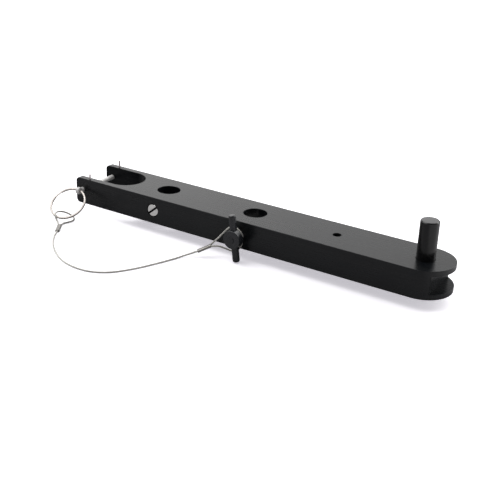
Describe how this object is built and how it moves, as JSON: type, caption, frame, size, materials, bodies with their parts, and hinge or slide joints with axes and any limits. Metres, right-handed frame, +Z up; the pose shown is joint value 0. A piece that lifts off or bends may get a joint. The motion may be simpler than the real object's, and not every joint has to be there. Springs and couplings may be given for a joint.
{
  "type": "spreader beam",
  "caption": "Slim spreader bar with a forked end, a slotted round end holding an upright clevis pin, cross bores, a T-handle quick-release pin and a ring pin tethered by a wire-rope lanyard.",
  "frame": {"origin": "on the bar's underside, on its centre line, midway between the two large vertical bores", "axes": "+X along the bar from the forked end to the slotted round end, +Z up out of the top face, -Y the side both loose pins are pushed in from"},
  "size_m": [0.3875, 0.1605, 0.0689],
  "materials": {
    "bar": "black anodised aluminium, satin with a fine lengthways brushed grain",
    "pin_black": "black oxide steel, semi-gloss",
    "stainless": "bright stainless steel, turned",
    "screw": "bright stainless steel, turned face",
    "handle": "dark grey coated metal, semi-matt",
    "button": "dark grey coated metal, matt",
    "spring": "drawn spring wire",
    "ring": "bright spring wire",
    "rope": "stranded stainless wire rope",
    "ferrule": "crimped sleeve, dull grey"
  },
  "bodies": {
    "beam": {"beam_bar": "bar", "keeper_pin_front": "stainless", "keeper_pin_rear": "stainless", "lanyard_cable": "rope"},
    "upright_pin": {"clevis_pin": "pin_black"},
    "screw": {"set_screw": "screw"},
    "fork_pin": {"ring_pin": "stainless"},
    "ring": {"split_ring": "ring", "lanyard_ring_eye": "rope", "ferrule_ring_end": "ferrule"},
    "tether_end": {"lanyard_pin_eye": "rope", "ferrule_pin_end": "ferrule"},
    "t_pin": {"t_pin_shank": "stainless", "t_pin_hub": "handle", "t_pin_crossbar": "handle", "t_pin_spring": "spring"},
    "t_button": {"t_pin_button": "button"}
  },
  "joints": [
    {"name": "clevis_pin_lift", "type": "slide", "parent": "beam", "child": "upright_pin", "axis": [0, 0, 1], "range_m": [0, 0.03]},
    {"name": "set_screw_travel", "type": "slide", "parent": "beam", "child": "screw", "axis": [0, 1, 0], "range_m": [-0.004, 0.005]},
    {"name": "ring_pin_pull", "type": "slide", "parent": "beam", "child": "fork_pin", "axis": [0, -1, 0], "range_m": [0, 0.06], "deforming": ["lanyard_cable"]},
    {"name": "split_ring_swing", "type": "hinge", "parent": "fork_pin", "child": "ring", "pos_m": [-0.132, -0.03, 0.0142], "axis": [0.9872, -0.0857, -0.1348], "range_deg": [-75, 45], "deforming": ["lanyard_cable"]},
    {"name": "t_pin_pull", "type": "slide", "parent": "beam", "child": "tether_end", "axis": [0, -1, 0], "range_m": [0, 0.062], "deforming": ["lanyard_cable"]},
    {"name": "t_pin_spin", "type": "hinge", "parent": "tether_end", "child": "t_pin", "pos_m": [0.04763, 0, 0.0121], "axis": [0, 1, 0], "continuous": true, "deforming": ["lanyard_pin_eye"]},
    {"name": "t_button_press", "type": "slide", "parent": "t_pin", "child": "t_button", "axis": [0, 1, 0], "range_m": [0, 0.0009], "stiffness_N_per_m": 1500, "springref_m": -0.001, "deforming": ["t_pin_spring"]}
  ]
}
